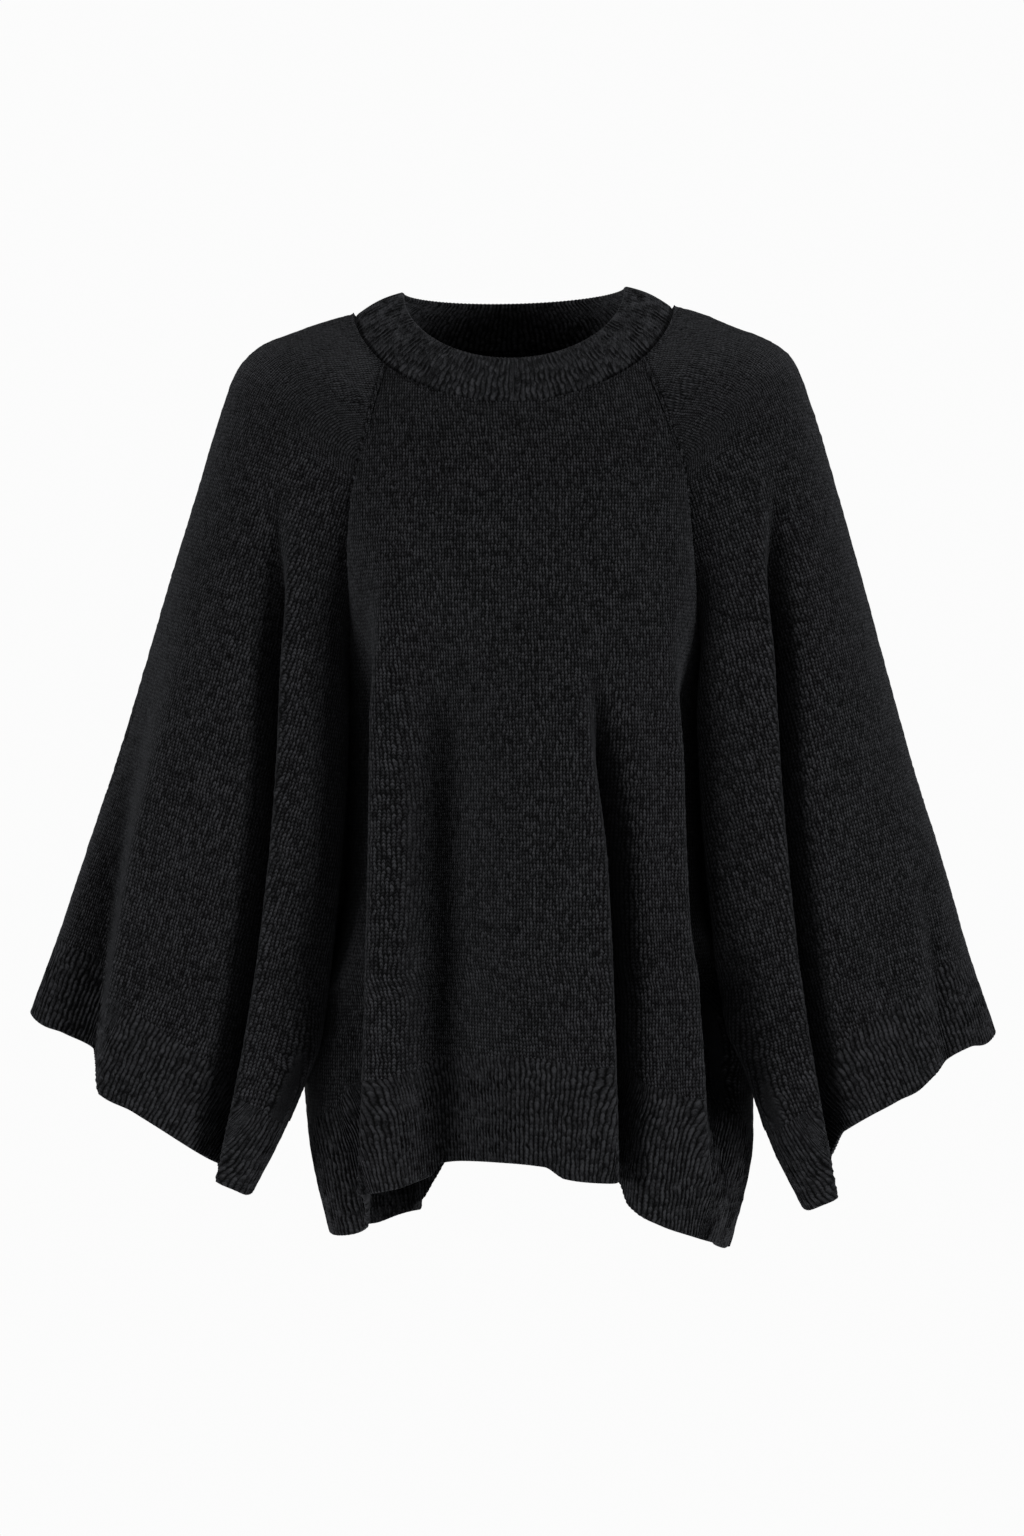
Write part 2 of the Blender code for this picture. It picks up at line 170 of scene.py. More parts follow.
# Felted wool: the wander and slope of its stitches, the shades of stitches, strands, fuzz and patches, and its
# shine. Fuzz and patches are so many to a metre, and the bump is in metres.
WAVER = 1.1
WAVER_SCALE = 0.28
LEG_SLOPE = 1.3
PLAIN_STITCH = 0.43
STITCH_SHADE = 0.85
STITCH_SHADES = 0.7
STRANDS_ACROSS = 1.2
STRANDS_ALONG = 0.45
STRAND_SHADES = 2.2
FUZZ_SCALE = 900.0
FUZZ_ROUGHNESS = 0.7
FUZZ_HEIGHT = 0.7
FUZZ_SHADE = 0.9
PATCH_SCALE = 45.0
PATCH_SHADE = 0.2
BUMP = 0.0008
SHADE_SHARE = 0.6
DARK_END = 0.42
LIGHT_END = 0.95
DARKEST = (0.0012, 0.0012, 0.0013)
LIGHTEST = (0.052, 0.053, 0.058)
ROUGHNESS = 0.84
ROUGHNESS_OF_FUZZ = 0.1
SPECULAR = 0.06
SHEEN = 0.12
SHEEN_ROUGHNESS = 0.45
SHEEN_TINT = (0.8, 0.83, 0.9, 1.0)


def chart(columns, *rows):
    """Named columns of numbers, with a row for each section or fold."""
    return dict(zip(columns.split(), np.array(rows, float).T))


# The outline of each sleeve and its raglan seam, measured out from the middle. Below the underarm the seam
# columns follow the sleeve's own underarm seam.
RIGHT_SLEEVE = chart(
    "down outer_x outer_z seam_x seam_z",
    (0, 120.5, -3.2, 93.8, -45.7),
    (22, 143.7, -9.4, 99.0, -62.0),
    (45, 168.0, -18.0, 105.0, -82.0),
    (69, 191.8, -28.1, 110.0, -103.0),
    (92, 208.0, -45.0, 115.4, -125.4),
    (125, 221.0, -80.0, 119.5, -150.0),
    (180, 240.0, -143.0, 122.5, -197.0),
    (252, 260.5, -209.0, 122.0, -270.0),
    (327, 280.5, -276.0, 121.5, -350.0),
    (401, 300.5, -341.0, 124.0, -430.0),
    (474, 315.5, -386.0, 140.5, -521.5),
    (521, 330.0, -430.0, 158.0, -575.0),
    (569, 345.1, -475.6, 172.3, -610.6),
    (630, 365.9, -533.7, 199.5, -663.7),
)
LEFT_SLEEVE = chart(
    "down outer_x outer_z seam_x seam_z",
    (0, 120.5, 3.2, 97.5, -45.7),
    (22, 141.5, -2.6, 104.0, -62.0),
    (45, 168.2, -13.8, 111.5, -82.0),
    (69, 191.1, -22.8, 118.5, -103.0),
    (92, 208.5, -35.5, 125.0, -125.4),
    (125, 224.0, -73.0, 128.0, -150.0),
    (180, 243.5, -138.0, 132.0, -197.0),
    (252, 263.0, -206.0, 135.0, -270.0),
    (327, 282.8, -278.7, 137.0, -350.0),
    (401, 303.0, -351.0, 139.5, -430.0),
    (474, 318.5, -401.0, 156.5, -510.0),
    (521, 331.5, -445.0, 177.0, -565.0),
    (569, 343.5, -487.0, 192.3, -618.0),
    (630, 364.3, -548.2, 220.0, -675.4),
)
# How the sleeve goes round in depth: the outer line, the two seams, how far front and back swell, and how far
# round they turn (0.5 runs on smoothly into the body, 1 turns right back in).
SLEEVE_DEPTH = chart(
    "down outer_y front_y front_swell front_turn back_y back_rise back_swell back_turn",
    (0, 0, -61, 61, 0.50, 51, 37, 51, 0.50),
    (22, 2, -69, 71, 0.50, 61, 35, 60, 0.50),
    (45, 4, -75, 79, 0.50, 69, 32, 67, 0.50),
    (69, 5, -79, 84, 0.51, 74, 30, 71, 0.50),
    (92, 5, -80, 86, 0.53, 78, 28, 74, 0.51),
    (125, 5, -77, 86, 0.58, 80, 25, 77, 0.53),
    (180, 6, -62, 85, 0.70, 76, 18, 77, 0.58),
    (252, 8, -36, 84, 0.84, 64, 12, 76, 0.68),
    (327, 10, -14, 82, 0.94, 50, 8, 74, 0.78),
    (401, 12, -4, 78, 0.98, 34, 4, 70, 0.88),
    (474, 13, 2, 70, 1.00, 2, 0, 62, 1.00),
    (521, 14, -10, 62, 1.00, -10, 0, 62, 1.00),
    (569, 14, -24, 56, 1.00, -24, 0, 60, 1.00),
    (630, 15, -34, 49, 1.00, -34, 0, 54, 1.00),
)
# The body's side seams, from the underarm to the hem's corners.
RIGHT_SIDE = chart(
    "down x z y",
    (474, -139.3, -521.5, 2),
    (506, -150.0, -552.5, 50),
    (542, -158.5, -587.4, 66),
    (579, -155.3, -621.8, 48),
    (616, -148.4, -655.9, 22),
    (659, -138.0, -699.0, 16),
)
LEFT_SIDE = chart(
    "down x z y",
    (474, 155.0, -510.0, 2),
    (506, 172.0, -548.0, 46),
    (542, 181.0, -588.0, 62),
    (579, 180.5, -628.0, 50),
    (616, 173.0, -668.0, 23),
    (659, 162.0, -711.0, 16),
)
# The middle of the front and of the back, and how far round their rows turn.
BODY = chart(
    "down front_z front_y front_turn back_z back_y back_turn",
    (0, -77.5, -97, 0.578, -12, 88, 0.578),
    (12, -87, -102, 0.59, -24, 94, 0.59),
    (45, -112, -110, 0.62, -57, 103, 0.62),
    (92, -150, -118, 0.66, -105, 111, 0.65),
    (125, -177, -122, 0.70, -140, 115, 0.68),
    (180, -223, -127, 0.78, -195, 118, 0.74),
    (252, -285, -131, 0.86, -265, 120, 0.82),
    (327, -350, -133, 0.91, -338, 121, 0.89),
    (401, -416, -134, 0.95, -410, 122, 0.94),
    (474, -485, -135, 1.00, -484, 124, 1.00),
    (579, -556, -137, 1.00, -562, 128, 1.00),
    (659, -634, -138, 1.00, -642, 130, 1.00),
)
# The hem's height across the front and the back.
FRONT_HEM = chart(
    "x z",
    (-138, -699),
    (-124, -696),
    (-115, -690),
    (-108, -660),
    (-80, -652),
    (-62, -647),
    (-54, -638),
    (0, -633.5),
    (22, -635),
    (37, -643.5),
    (80, -649.5),
    (86, -667),
    (106, -680),
    (141, -695),
    (162, -711),
)
BACK_HEM = chart(
    "x z",
    (-138, -699),
    (-125, -704),
    (-109, -704),
    (-90, -698),
    (-76, -691.6),
    (-67, -683),
    (-60, -668),
    (-50, -652),
    (0, -641),
    (60, -655),
    (110, -684),
    (162, -711),
)
# How far each cuff is lifted, front and back, by the distance out from the middle.
RIGHT_CUFF = chart(
    "out front back",
    (200, 0, 0),
    (241, 2, 6),
    (283, -3, 10),
    (307, -10, 14),
    (317, 13, 16),
    (339, 8, 10),
    (366, 0, 0),
)
LEFT_CUFF = chart(
    "out front back",
    (220, 0, 0),
    (233, 0, 8),
    (247, 35, 20),
    (285, 24, 36),
    (304, 17, 32),
    (321, 19, 26),
    (364, 0, 0),
)

# Folds run down the cloth along a line x at the heights top, middle and low. On the fold's side (1 is towards
# +x) the cloth stands crest proud of the form over crest_wide, and on the other it sinks by trough over
# trough_wide. The step between is edge wide, more where the fold starts, and its top hangs over the trough by
# about lean. A fold grows in from top over the height grow, and keeps the share end at low. Below the underarm
# it stays on its own piece: a sleeve where sleeve is 1, and the body where it is 0.
FOLD_COLUMNS = (
    "x_top x_middle x_low top low side crest crest_wide trough trough_wide edge lean grow end sleeve"
)
FRONT_FOLDS = chart(
    FOLD_COLUMNS,
    (-172, -172, -213, -90, -640, 1, 14, 40, 40, 23, 3, 9, 200, 1.0, 1),
    (-128, -132, -156, -190, -600, -1, 20, 30, 8, 20, 3, 6, 120, 1.0, 1),
    (-234, -282, -313, -160, -590, 1, 11, 60, 36, 32, 4, 0, 260, 1.0, 1),
    (-101, -102, -111, -160, -690, 1, 12, 34, 50, 38, 3, 9, 160, 0.9, 0),
    (-58, -63, -62, -170, -640, -1, -40, 20, 40, 26, 8, 0, 220, 0.9, 0),
    (-30, -36, -36, -170, -640, -1, -35, 24, 35, 32, 8, 0, 220, 0.9, 0),
    (47, 64, 70, -225, -690, -1, 12, 40, 64, 17, 3, 10, 200, 0.9, 0),
    (121, 123, 147, -190, -690, -1, 6, 14, 44, 21, 3, 9, 160, 0.6, 0),
    (130, 137, 152, -460, -650, -1, 0, 20, 60, 26, 3, 6, 55, 0.2, 0),
    (146, 147, 170, -180, -560, 1, 18, 28, 8, 18, 3, 12, 130, 1.0, 1),
    (186, 193, 232, -80, -650, -1, 14, 34, 42, 17, 3, 9, 200, 1.0, 1),
    (292, 306, 318, -380, -580, -1, 5, 20, 8, 12, 5, 0, 100, 1.0, 1),
)
BACK_FOLDS = chart(
    FOLD_COLUMNS,
    (-170, -190, -222, -110, -640, -1, 12, 34, 38, 30, 4, 8, 130, 1.0, 1),
    (-252, -288, -316, -200, -590, 1, 9, 40, 26, 30, 4, 6, 140, 1.0, 1),
    (-60, -66, -78, -250, -690, -1, 14, 34, 44, 30, 4, 9, 200, 1.0, 0),
    (16, 10, 6, -300, -660, 1, 14, 36, 38, 34, 4, 8, 200, 1.0, 0),
    (100, 98, 104, -230, -700, 1, 12, 26, 36, 24, 4, 8, 200, 1.0, 0),
    (176, 200, 236, -100, -650, 1, 10, 34, 34, 28, 4, 8, 130, 0.7, 1),
    (252, 286, 312, -200, -580, -1, 9, 34, 22, 26, 4, 4, 140, 1.0, 1),
)


def read(rows, column, at, key="down"):
    """The chart's column at any places between its rows, on a smooth curve that doesn't overshoot them."""
    places, values = rows[key], rows[column]
    at = np.clip(at, places[0], places[-1])
    gaps = np.diff(places)
    slopes = np.diff(values) / gaps
    before, after = slopes[:-1], slopes[1:]
    same_way = before * after > 0
    inner = np.where(same_way, 2 * before * after / np.where(same_way, before + after, 1), 0)
    tangents = np.concatenate([slopes[:1], inner, slopes[-1:]])
    row = np.clip(np.searchsorted(places, at, side="right") - 1, 0, len(gaps) - 1)
    gap = gaps[row]
    t = (at - places[row]) / gap
    return (
        values[row] * (1 + 2 * t) * (1 - t) ** 2
        + values[row + 1] * (3 - 2 * t) * t**2
        + tangents[row] * gap * t * (1 - t) ** 2
        - tangents[row + 1] * gap * (1 - t) * t**2
    )


def ease(t):
    """0 to 1 with a soft start and end."""
    t = np.clip(t, 0, 1)
    return t * t * (3 - 2 * t)


def lengths(points):
    """The distance along each row of points from its start."""
    steps = np.linalg.norm(np.diff(points, axis=-2), axis=-1)
    return np.concatenate([np.zeros(steps.shape[:-1] + (1,)), np.cumsum(steps, axis=-1)], axis=-1)


def word(facing):
    """What the charts call the side that faces the camera (-1) or away from it (1)."""
    return "front" if facing < 0 else "back"


def ridged(turns):
    """The height of ribs, from about -1 to 1, after so many of them."""
    wave = np.cos(2 * math.pi * turns)
    return wave - RIB_ROUNDING * wave**2


def round_neck(angle, half_width, front_y, back_y, side_z, front_drop, back_drop, dip):
    """A loop round the neck, by the angle round from the middle of the front towards +x."""
    forward = np.cos(angle)
    reach = np.where(forward > 0, -front_y, back_y)
    drop = np.where(forward > 0, front_drop, back_drop)
    x = half_width * np.sin(angle)
    return np.stack([x, -reach * forward, side_z + NECK_TILT * x - drop * np.abs(forward) ** dip], axis=-1)


def neckline(angle):
    """The seam of the neckband, by that angle."""
    return round_neck(angle, **NECKLINE)


def band_edge(angle):
    """The free edge of the neckband, by the same angle."""
    return round_neck(angle, **BAND_EDGE)


def from_neckline(points, down, ring):
    """The rows, with the first one laid on the neckline's ring and the next ones drawn towards it."""
    return points + (ring - points[:1]) * (1 - ease(down / NECK_BLEND))[..., None]


def folded(points, down, facing, share, on_sleeve):
    """The points with the folds added, then the plain ones. Facing is -1 for the front and 1 for the back."""
    folds = FRONT_FOLDS if facing < 0 else BACK_FOLDS
    above = 1 - ease((down - UNDERARM) / PARTING)
    x, z = points[..., 0], points[..., 2]
    rise = np.zeros_like(x)
    shift = np.zeros_like(x)
    for n in range(len(folds["top"])):
        fold = {name: column[n] for name, column in folds.items()}
        fall = np.clip((fold["top"] - z) / (fold["top"] - fold["low"]), 0, FOLD_PAST)
        line = (
            fold["x_top"] * (1 - fall) * (1 - 2 * fall)
            + fold["x_middle"] * 4 * fall * (1 - fall)
            + fold["x_low"] * fall * (2 * fall - 1)
        )
        grown = ease((fold["top"] - z) / fold["grow"])
        size = grown * (1 - (1 - fold["end"]) * ease((fall - FOLD_FADE) / (1 - FOLD_FADE)))
        if fold["sleeve"] != on_sleeve:
            size = size * above
        edge = fold["edge"] * (FOLD_START - (FOLD_START - 1) * grown)
        off = (x - line) * fold["side"]
        crest = np.exp(-((off / fold["crest_wide"]) ** 2))
        trough = np.exp(-((off / fold["trough_wide"]) ** 2))
        proud = 0.5 + 0.5 * np.tanh(off / edge)
        rise += size * (proud * fold["crest"] * crest - (1 - proud) * fold["trough"] * trough)
        leaning = (2 * proud - 1) * np.exp(-((off / (LEAN_REACH * edge)) ** 2))
        shift -= size * fold["side"] * fold["lean"] * leaning
    moved = points.copy()
    moved[..., 0] += share * shift
    moved[..., 1] += share * facing * rise
    return np.concatenate([moved, points], axis=-1)


def stitched(rows, ways):
    """Rows of points with their places on the cloth: across the wales, along them, and across them once more.

    The places come from the plain form, and the first one also follows how far a fold moves a point along it,
    so the wales run straight on through the folds. The last one is the plain form's own, which ribs keep to.
    """
    points = rows[..., 3:]
    steps = np.diff(points, axis=1)
    along_way = np.einsum("jik,jk->ji", steps, ways)
    across = np.sqrt(np.maximum((steps**2).sum(axis=-1) - along_way**2, 0))
    u = np.concatenate([np.zeros((len(points), 1)), np.cumsum(across, axis=1)], axis=1)
    u -= u[:, FINE : FINE + 1]
    centre = points[:, FINE]
    run = np.concatenate([[0], np.cumsum(np.linalg.norm(np.diff(centre, axis=0), axis=1))])
    v = run[:, None] + np.einsum("jik,jk->ji", points - centre[:, None], ways)
    tangent = np.gradient(points, axis=1)
    tangent -= np.einsum("jik,jk->ji", tangent, ways)[..., None] * ways[:, None]
    tangent /= np.linalg.norm(tangent, axis=-1, keepdims=True)
    moved = rows[..., :3] - points
    slant = tangent[..., 1]
    shown = u + moved[..., 0] * tangent[..., 0] + moved[..., 1] * slant * np.abs(slant)
    return np.concatenate([rows[..., :3], shown[..., None], v[..., None], u[..., None]], axis=-1)


def over_seam(down):
    """How far folds run on over the raglan seam: not near the neck, nor near the underarm."""
    starting = ease((down - OVER_SEAM_FROM) / OVER_SEAM_GROWTH)
    return starting * (1 - ease((down - OVER_SEAM_TO) / (UNDERARM - OVER_SEAM_TO)))


def still_ends(points, at_start, at_end):
    """How strongly folds show along each row, from the shares that they keep at its start and end."""
    along = lengths(points)
    from_start = ease(along / STILL_SEAM)
    from_end = ease((along[..., -1:] - along) / STILL_SEAM)
    return (at_start + (1 - at_start) * from_start) * (at_end + (1 - at_end) * from_end)


def sleeve_half(side, down, facing):
    """Rows of the sleeve from its outer line to its front (-1) or back (1) seam, at fine steps."""
    outline = LEFT_SLEEVE if side > 0 else RIGHT_SLEEVE
    cuff = LEFT_CUFF if side > 0 else RIGHT_CUFF
    name = word(facing)
    down = np.asarray(down, float)[:, None]
    turn = read(SLEEVE_DEPTH, name + "_turn", down)
    swell = read(SLEEVE_DEPTH, name + "_swell", down)
    outer_y = read(SLEEVE_DEPTH, "outer_y", down)
    seam_y = read(SLEEVE_DEPTH, name + "_y", down)
    round_to = np.linspace(0, 1, FINE + 1)[None, :]
    across = (1 - np.cos(turn * math.pi * round_to)) / (1 - np.cos(turn * math.pi))
    flat = 1 - SLEEVE_SQUARING * ease((down - SQUARING_FROM) / SQUARING_OVER)
    puff = swell * np.maximum(np.sin(turn * math.pi * round_to), 0) ** flat
    rest = seam_y - outer_y - facing * puff[:, -1:]
    seam_z = read(outline, "seam_z", down)
    if facing > 0:
        seam_z = seam_z + read(SLEEVE_DEPTH, "back_rise", down)
    outer_x, seam_x = read(outline, "outer_x", down), read(outline, "seam_x", down)
    outer_z = read(outline, "outer_z", down)
    out = outer_x + (seam_x - outer_x) * across
    free = ease((down - UNDERARM) / (SLEEVE_END - UNDERARM)) * ease(across / CUFF_STILL)
    z = outer_z + (seam_z - outer_z) * across + free * read(cuff, name, out, "out")
    points = np.stack([side * out, outer_y + facing * puff + rest * across, z], axis=-1)
    ring = neckline(side * (math.pi / 2 + facing * (math.pi / 2 - RAGLAN_ANGLE) * round_to[0]))
    points = from_neckline(points, down, ring)
    return folded(points, down, facing, still_ends(points, 0.0, over_seam(down)), 1)


def sleeve_rows(side, downs):
    """Rows of one sleeve, each from the front seam over the outer line to the back seam."""
    downs = np.concatenate([[0.0], downs])
    front = sleeve_half(side, downs, -1)[1:]
    back = sleeve_half(side, downs, 1)[1:]
    rows = np.concatenate([front[:, ::-1], back[:, 1:]], axis=1)
    ways = np.gradient(rows[:, FINE, 3:], axis=0)
    ways /= np.linalg.norm(ways, axis=1, keepdims=True)
    return stitched(rows, ways)


def body_edge(side, downs, facing):
    """The raglan seam and then the side seam, at the given rows."""
    outline, seam = (LEFT_SLEEVE, LEFT_SIDE) if side > 0 else (RIGHT_SLEEVE, RIGHT_SIDE)
    name = word(facing)
    upper = np.minimum(downs, UNDERARM)
    rise = read(SLEEVE_DEPTH, "back_rise", upper) if facing > 0 else 0.0
    raglan = [
        side * read(outline, "seam_x", upper),
        read(SLEEVE_DEPTH, name + "_y", upper),
        read(outline, "seam_z", upper) + rise,
    ]
    below = downs >= UNDERARM
    flank = [read(seam, "x", downs), read(seam, "y", downs), read(seam, "z", downs)]
    return np.stack([np.where(below, low, high) for low, high in zip(flank, raglan)], axis=-1)


def hem_offset(share, arch, facing):
    """How far the hem lies from the even arch that its row would have, across the panel."""
    end = np.array([BODY_END])
    right, left = body_edge(-1, end, facing)[0], body_edge(1, end, facing)[0]
    line = right + (left - right) * share[:, None]
    middle_z = read(BODY, word(facing) + "_z", end)
    level = line[:, 2] + (middle_z - line[FINE, 2]) * arch
    return read(FRONT_HEM if facing < 0 else BACK_HEM, "z", line[:, 0], "x") - level


def body_rows(downs, facing):
    """Rows of the front (-1) or back (1) panel, from the right seam (-x) to the left one, at fine steps."""
    downs = np.concatenate([[0.0], downs, [BODY_END]])
    name = word(facing)
    right, left = body_edge(-1, downs, facing), body_edge(1, downs, facing)
    down = downs[:, None]
    middle_y, middle_z = read(BODY, name + "_y", down), read(BODY, name + "_z", down)
    turn = read(BODY, name + "_turn", down) * math.pi / 2
    place = np.linspace(-1, 1, 2 * FINE + 1)[None, :]
    share = (1 + np.sin(turn * place) / np.sin(turn)) / 2
    arch = np.clip((np.cos(turn * place) - np.cos(turn)) / (1 - np.cos(turn)), 0, 1)
    full = arch ** (1 - (1 - BOXINESS) * ease(down / BOXINESS_OVER))
    line = right[:, None] + (left - right)[:, None] * share[..., None]
    x = line[..., 0]
    y = line[..., 1] + (middle_y - line[..., 1].mean(axis=1, keepdims=True)) * full
    z = line[..., 2] + (middle_z - line[:, FINE : FINE + 1, 2]) * arch
    free = np.clip((down - UNDERARM) / (BODY_END - UNDERARM), 0, 1)
    z = z + free**HEM_GROWTH * hem_offset(share[-1], arch[-1], facing)
    points = np.stack([x, y, z], axis=-1)
    ring = neckline(RAGLAN_ANGLE * place[0]) if facing < 0 else neckline(math.pi - RAGLAN_ANGLE * place[0])
    points = from_neckline(points, down, ring)
    run_on = over_seam(down)
    rows = folded(points, down, facing, still_ends(points, run_on, run_on), 0)[1:-1]
    ways = np.broadcast_to(np.array([0.0, 0.0, -1.0]), (len(rows), 3))
    return stitched(rows, ways)


def sampled(row, along, places):
    """The columns of a row, known at along, read at other places."""
    return np.stack([np.interp(places, along, column) for column in row.T], axis=1)


def even_wales(rows, places):
    """Each row at the same wales, which lie at the places given, from 0 to 1, along the middle row."""

    def share(row):
        return (row[:, 5] - row[0, 5]) / (row[-1, 5] - row[0, 5])

    middle = rows[len(rows) // 2]
    along = lengths(middle[:, :3])
    wales = np.interp(places * along[-1], along, share(middle))
    return np.array([sampled(row, share(row), wales) for row in rows])


def seamed(rows, count):
    """Rows at even steps along the cloth, with narrow steps by the seams at each end."""
    found = []
    narrow = np.array(SEAM_STEPS)
    for row in rows:
        along = lengths(row[:, :3])
        start, end = SEAM_GAP, along[-1] - SEAM_GAP
        inner = np.linspace(start + narrow[-1], end - narrow[-1], count - 2 * len(narrow) + 2)
        at = np.concatenate([start + narrow[:-1], inner, (end - narrow[:-1])[::-1]])
        found.append(sampled(row, along, at))
    return np.array(found)


def outward(points, mirrored):
    """The direction square to the cloth at each point of a grid. Mirrored rows run the other way round."""
    down = np.gradient(points, axis=0)
    along = np.gradient(points, axis=1)
    normals = np.cross(along, down)
    normals /= np.maximum(np.linalg.norm(normals, axis=-1, keepdims=True), LEAST_LENGTH)
    return -normals if mirrored else normals


def seam_profile(distance):
    """How the cloth lies near a linked seam: pulled down into it, with a fine ridge beside it."""
    ridge = SEAM_RIDGE * np.exp(-(((distance - SEAM_RIDGE_PLACE) / SEAM_RIDGE_REACH) ** 2))
    return ridge - SEAM_SINK * np.exp(-((distance / SEAM_SINK_REACH) ** 2))


def stretched(outer, cloth_map):
    """Where stitches are drawn out on a fold's steep walls, from 0 to 1."""
    across = np.linalg.norm(np.gradient(outer, axis=1), axis=-1)
    wales = np.maximum(np.abs(np.gradient(cloth_map[..., 0], axis=1)), LEAST_WALE)
    ratio = across / wales
    return ease((ratio / np.median(ratio) - DRAWN_FROM) / DRAWN_OVER)


def cloth_piece(name, points, faces, cloth_map, drawn_out):
    """The piece for the node of that name: points, quads, places on the cloth, how drawn out each one is."""
    title = name + "_cloth"
    mesh = bpy.data.meshes.new(title)
    mesh.vertices.add(len(points))
    mesh.vertices.foreach_set("co", (points * MM).astype(np.float32).ravel())
    mesh.loops.add(faces.size)
    mesh.loops.foreach_set("vertex_index", faces.astype(np.int32).ravel())
    mesh.polygons.add(len(faces))
    mesh.polygons.foreach_set("loop_start", np.arange(0, faces.size, 4, dtype=np.int32))
    mesh.polygons.foreach_set("loop_total", np.full(len(faces), 4, np.int32))
    mesh.update(calc_edges=True)
    layer = mesh.uv_layers.new(name="cloth")
    layer.data.foreach_set("uv", (cloth_map[faces.ravel()] * UV_PER_MM).astype(np.float32).ravel())
    attribute = mesh.attributes.new(name="drawn_out", type="FLOAT", domain="POINT")
    attribute.data.foreach_set("value", drawn_out.astype(np.float32))
    mesh.validate()
    mesh.shade_smooth()
    mesh.set_sharp_from_angle(angle=CREASE)
    piece = bpy.data.objects.new(title, mesh)
    bpy.context.scene.collection.objects.link(piece)
    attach(piece, "root")
    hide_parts(name)
    return piece


def walled(name, outer, normals, thickness, cloth_map):
    """A closed wall of cloth between the outer grid and one that lies thickness inside it."""
    height, width = outer.shape[:2]
    total = height * width
    inner = outer - normals * np.asarray(thickness)[..., None]
    j, i = np.meshgrid(np.arange(height - 1), np.arange(width - 1), indexing="ij")
    a = j * width + i
    quads = np.stack([a, a + width, a + width + 1, a + 1], axis=-1).reshape(-1, 4)
    top = np.arange(width - 1)
    bottom = top + (height - 1) * width
    left = np.arange(height - 1) * width
    right = left + width - 1
    rims = [
        np.stack([top, top + 1, top + 1 + total, top + total], axis=-1),
        np.stack([bottom + 1, bottom, bottom + total, bottom + 1 + total], axis=-1),
        np.stack([left + width, left, left + total, left + width + total], axis=-1),
        np.stack([right, right + width, right + width + total, right + total], axis=-1),
    ]
    faces = np.concatenate([quads, quads[:, ::-1] + total, *rims])
    corner = outer[height // 2, 0]
    facing = np.cross(outer[height // 2, 1] - corner, outer[height // 2 + 1, 0] - corner)
    if np.dot(facing, normals[height // 2, 0]) > 0:
        faces = faces[:, ::-1]
    points = np.concatenate([outer.reshape(-1, 3), inner.reshape(-1, 3)])
    drawn_out = np.tile(stretched(outer, cloth_map).ravel(), 2)
    return cloth_piece(name, points, faces, np.tile(cloth_map.reshape(-1, 2), (2, 1)), drawn_out)


def uneven(name, shape):
    """Small heights that differ from stitch to stitch."""
    return np.random.default_rng(len(name)).normal(0, UNEVEN, shape)


def edge_taper(distance, thickness):
    """How much the wall draws in on each side near a free edge, so that the edge is round."""
    radius = thickness / 2
    off = np.clip(1 - distance / radius, 0, 1)
    return radius * (1 - np.sqrt(np.maximum(1 - off**2, 0)))


def rows_between(start, end, steps, fine_start=False, fine_end=False):
    """Row places with narrow steps where a seam or a free edge needs them."""
    low = start + (SEAM_STEPS[-1] if fine_start else 0)
    high = end - (EDGE_STEPS[-1] if fine_end else 0)
    places = [start + step for step in SEAM_STEPS[:-1]] if fine_start else []
    places += list(np.linspace(low, high, max(2, round((high - low) / steps) + 1)))
    if fine_end:
        places += [end - step for step in EDGE_STEPS[-2::-1]]
    return np.array(places)


def panel_piece(name, downs, rows_of, columns, mirrored):
    """A knitted panel: its rows, the seams' ridges at its sides and top, and its stitches' places."""
    rows = seamed(rows_of(downs), columns)
    points = rows[..., :3]
    normals = outward(points, mirrored)
    along = lengths(points)
    side_gap = np.minimum(along, along[:, -1:] - along)
    seam_share = np.where(downs < UNDERARM, 1.0, SIDE_SEAM_SHARE)
    lift = seam_profile(side_gap) * seam_share[:, None]
    lift += NECK_SEAM_SHARE * seam_profile(downs - downs[0])[:, None]
    lift += uneven(name, lift.shape)
    outer = points + normals * lift[..., None]
    return walled(name, outer, normals, CLOTH, rows[..., 3:5])


def rib_piece(name, downs, rows_of, mirrored):
    """A rib: ridges along its wales, growing from the plain knit, and a round free edge."""
    fine_rows = rows_of(downs)
    ribs = round(lengths(fine_rows[len(downs) // 2][:, :3])[-1] / RIB_PITCH)
    places = np.linspace(0, 1, ribs * RIB_SAMPLES + 1)
    rows = even_wales(fine_rows, places * (1 - 2 * RIB_TRIM) + RIB_TRIM)
    points = rows[..., :3]
    normals = outward(points, mirrored)
    grown = ease((downs - downs[0]) / RIB_GROWTH)[:, None]
    to_edge = (downs[-1] - downs)[:, None]
    calm = 1 - EDGE_CALM * np.exp(-to_edge / EDGE_CALM_REACH)
    ridge = RIB_DEPTH * grown * ridged(ribs * places) * calm
    ridge = ridge + uneven(name, ridge.shape)
    draw = edge_taper(to_edge, CLOTH)
    outer = points + normals * (ridge - draw)[..., None]
    cloth_map = rows[..., 3:5].copy()
    cloth_map[..., 0] = ribs * places * STITCH_WIDTH
    return walled(name, outer, normals, np.maximum(CLOTH - 2 * draw, THINNEST), cloth_map)


def band_columns():
    """The neckband's number of ribs, and each column's share of the way round, point on the seam and edge."""
    angle = np.linspace(0, 2 * math.pi, 8 * 360 + 1)
    run = lengths((neckline(angle) + band_edge(angle)) / 2)
    ribs = round(run[-1] / BAND_RIB_PITCH)
    place = np.arange(ribs * RIB_SAMPLES) / (ribs * RIB_SAMPLES)
    angle = np.interp(place * run[-1], run, angle)
    return ribs, place, neckline(angle), band_edge(angle)


